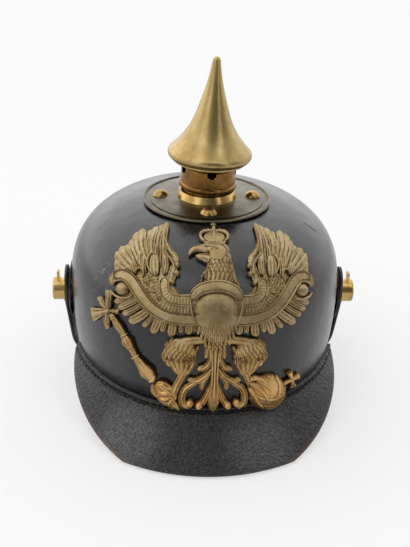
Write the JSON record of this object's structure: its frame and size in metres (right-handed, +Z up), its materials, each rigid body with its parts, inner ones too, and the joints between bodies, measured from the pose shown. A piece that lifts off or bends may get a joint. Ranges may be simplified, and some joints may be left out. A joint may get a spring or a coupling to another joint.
{
  "type": "spiked leather helmet",
  "caption": "Leather parade helmet with a brass spike on a domed base plate, a front eagle plate, leather visor and neck guard, rear spine with sliding vent, side posts and a hanging chinstrap.",
  "frame": {"origin": "on the table under the middle of the helmet, which rests on the tips of its visor and neck guard", "axes": "+Z up along the spike, -Y out of the front visor, +X to the left of the wearer"},
  "size_m": [0.2056, 0.2673, 0.2165],
  "materials": {
    "lacquered_leather": "glossy black lacquer with fine craquelure",
    "pebbled_leather": "worn pebbled black",
    "liner_leather": "undyed, worn",
    "strap_leather": "black, satin",
    "worn_brass": "satin, rubbed",
    "tarnished_brass": "dark, tarnished",
    "dark_brass": "brown, oxidised",
    "stamped_brass": "stamped relief, oxidised in the hollows",
    "cockade_paint": "painted rings, worn"
  },
  "bodies": {
    "helmet": {"skull_shell": "lacquered_leather", "front_visor": "pebbled_leather", "neck_guard": "pebbled_leather", "liner_tongues": "liner_leather", "sweatband": "liner_leather", "base_plate": "tarnished_brass", "base_studs": "worn_brass", "spike_collar": "worn_brass", "spike_neck": "dark_brass", "spike_floor": "dark_brass", "spike_cone": "worn_brass", "rear_spine": "worn_brass", "spine_stud": "worn_brass", "cockade_left": "cockade_paint", "cockade_right": "cockade_paint", "side_post_left": "worn_brass", "side_post_right": "worn_brass", "post_washers": "liner_leather", "post_nuts": "dark_brass", "eagle_plate": "stamped_brass", "plate_loops": "dark_brass", "plate_wedges": "liner_leather"},
    "chinstrap": {"chinstrap_left": "strap_leather", "chinstrap_right": "strap_leather", "strap_eyelets": "worn_brass"},
    "vent": {"vent_slider": "dark_brass"},
    "left_buckle": {"buckle_left": "worn_brass"},
    "right_buckle": {"buckle_right": "worn_brass"}
  },
  "joints": [
    {"name": "chinstrap_swing", "type": "hinge", "parent": "helmet", "child": "chinstrap", "pos_m": [0, 0, 0.0563], "axis": [1, 0, 0], "range_deg": [-20, 20]},
    {"name": "vent_slide", "type": "slide", "parent": "helmet", "child": "vent", "axis": [0, 0, 1], "range_m": [0, 0.009]},
    {"name": "buckle_left_slide", "type": "slide", "parent": "chinstrap", "child": "left_buckle", "axis": [-1, 0, 0], "range_m": [0, 0.008]},
    {"name": "buckle_right_slide", "type": "slide", "parent": "chinstrap", "child": "right_buckle", "axis": [1, 0, 0], "range_m": [0, 0.008]}
  ]
}
